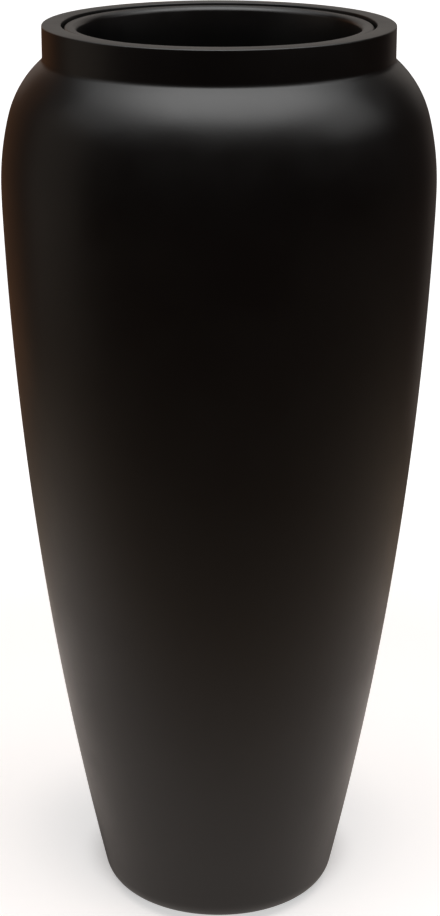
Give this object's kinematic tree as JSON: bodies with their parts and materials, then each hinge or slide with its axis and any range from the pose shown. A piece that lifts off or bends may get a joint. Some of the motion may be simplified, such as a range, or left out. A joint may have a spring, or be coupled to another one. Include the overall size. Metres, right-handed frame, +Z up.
{
  "type": "floor planter",
  "caption": "Tall vase-shaped floor planter with a short collar, round shoulder and body tapering to the foot, holding a lift-out liner pot.",
  "frame": {"origin": "on the floor under the middle of the foot, at the underside of the pads", "axes": "+Z up along the planter's axis, -Y towards the viewer of the picture, +X to the viewer's right"},
  "size_m": [0.4659, 0.466, 1],
  "materials": {
    "shell_lacquer": "satin black lacquer on moulded glass-fibre laminate",
    "liner_plastic": "satin black moulded plastic",
    "base_laminate": "rough dark laminate",
    "plug_rubber": "matt black rubber",
    "pad_rubber": "matt dark rubber"
  },
  "bodies": {
    "shell": {"outer_shell": "shell_lacquer", "base_disc": "base_laminate", "foot_pad_1": "pad_rubber", "foot_pad_2": "pad_rubber", "foot_pad_3": "pad_rubber", "foot_pad_4": "pad_rubber"},
    "liner": {"liner": "liner_plastic"},
    "liner_plug": {"liner_drain_plug": "plug_rubber"},
    "base_plug": {"base_drain_plug": "plug_rubber"}
  },
  "joints": [
    {"name": "liner_lift", "type": "slide", "parent": "shell", "child": "liner", "axis": [0, 0, 1], "range_m": [0, 0.31]},
    {"name": "liner_plug_pull", "type": "slide", "parent": "liner", "child": "liner_plug", "axis": [0, 0, 1], "range_m": [0, 0.04]},
    {"name": "base_plug_pull", "type": "slide", "parent": "shell", "child": "base_plug", "axis": [0, 0, 1], "range_m": [0, 0.04]}
  ]
}
